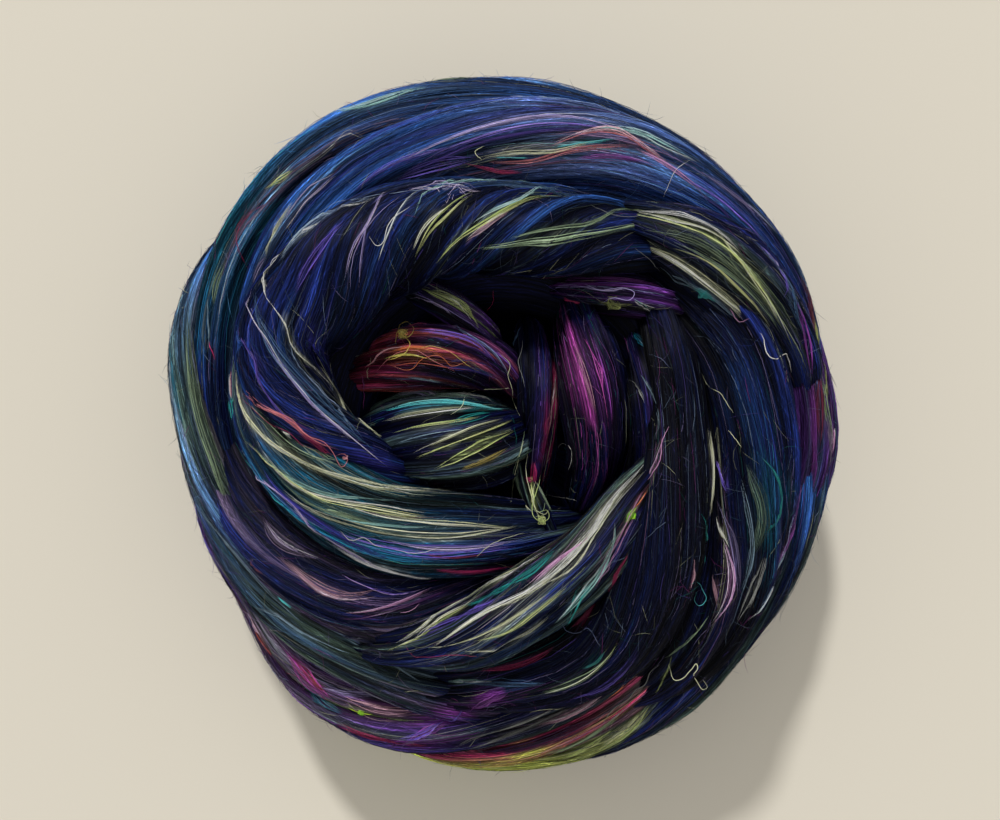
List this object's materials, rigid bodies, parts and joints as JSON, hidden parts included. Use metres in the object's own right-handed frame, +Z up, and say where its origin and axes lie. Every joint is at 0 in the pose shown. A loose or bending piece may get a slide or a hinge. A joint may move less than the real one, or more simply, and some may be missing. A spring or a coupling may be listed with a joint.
{
  "type": "wool roving",
  "caption": "Ball of hand-wound wool and silk roving: a low nest of fat twisted courses round a hollow, with the strand's end tucked across it.",
  "frame": {"origin": "middle of the flat spot that the ball rests on, under the centre of its outline", "axes": "+Z up along the axis of the winding; +X to the right and +Y to the top of the view from above"},
  "size_m": [0.1798, 0.1894, 0.0859],
  "materials": {
    "blue_wool": "soft combed wool with silk streaks"
  },
  "bodies": {
    "root": {"roving": "blue_wool"}
  },
  "joints": []
}
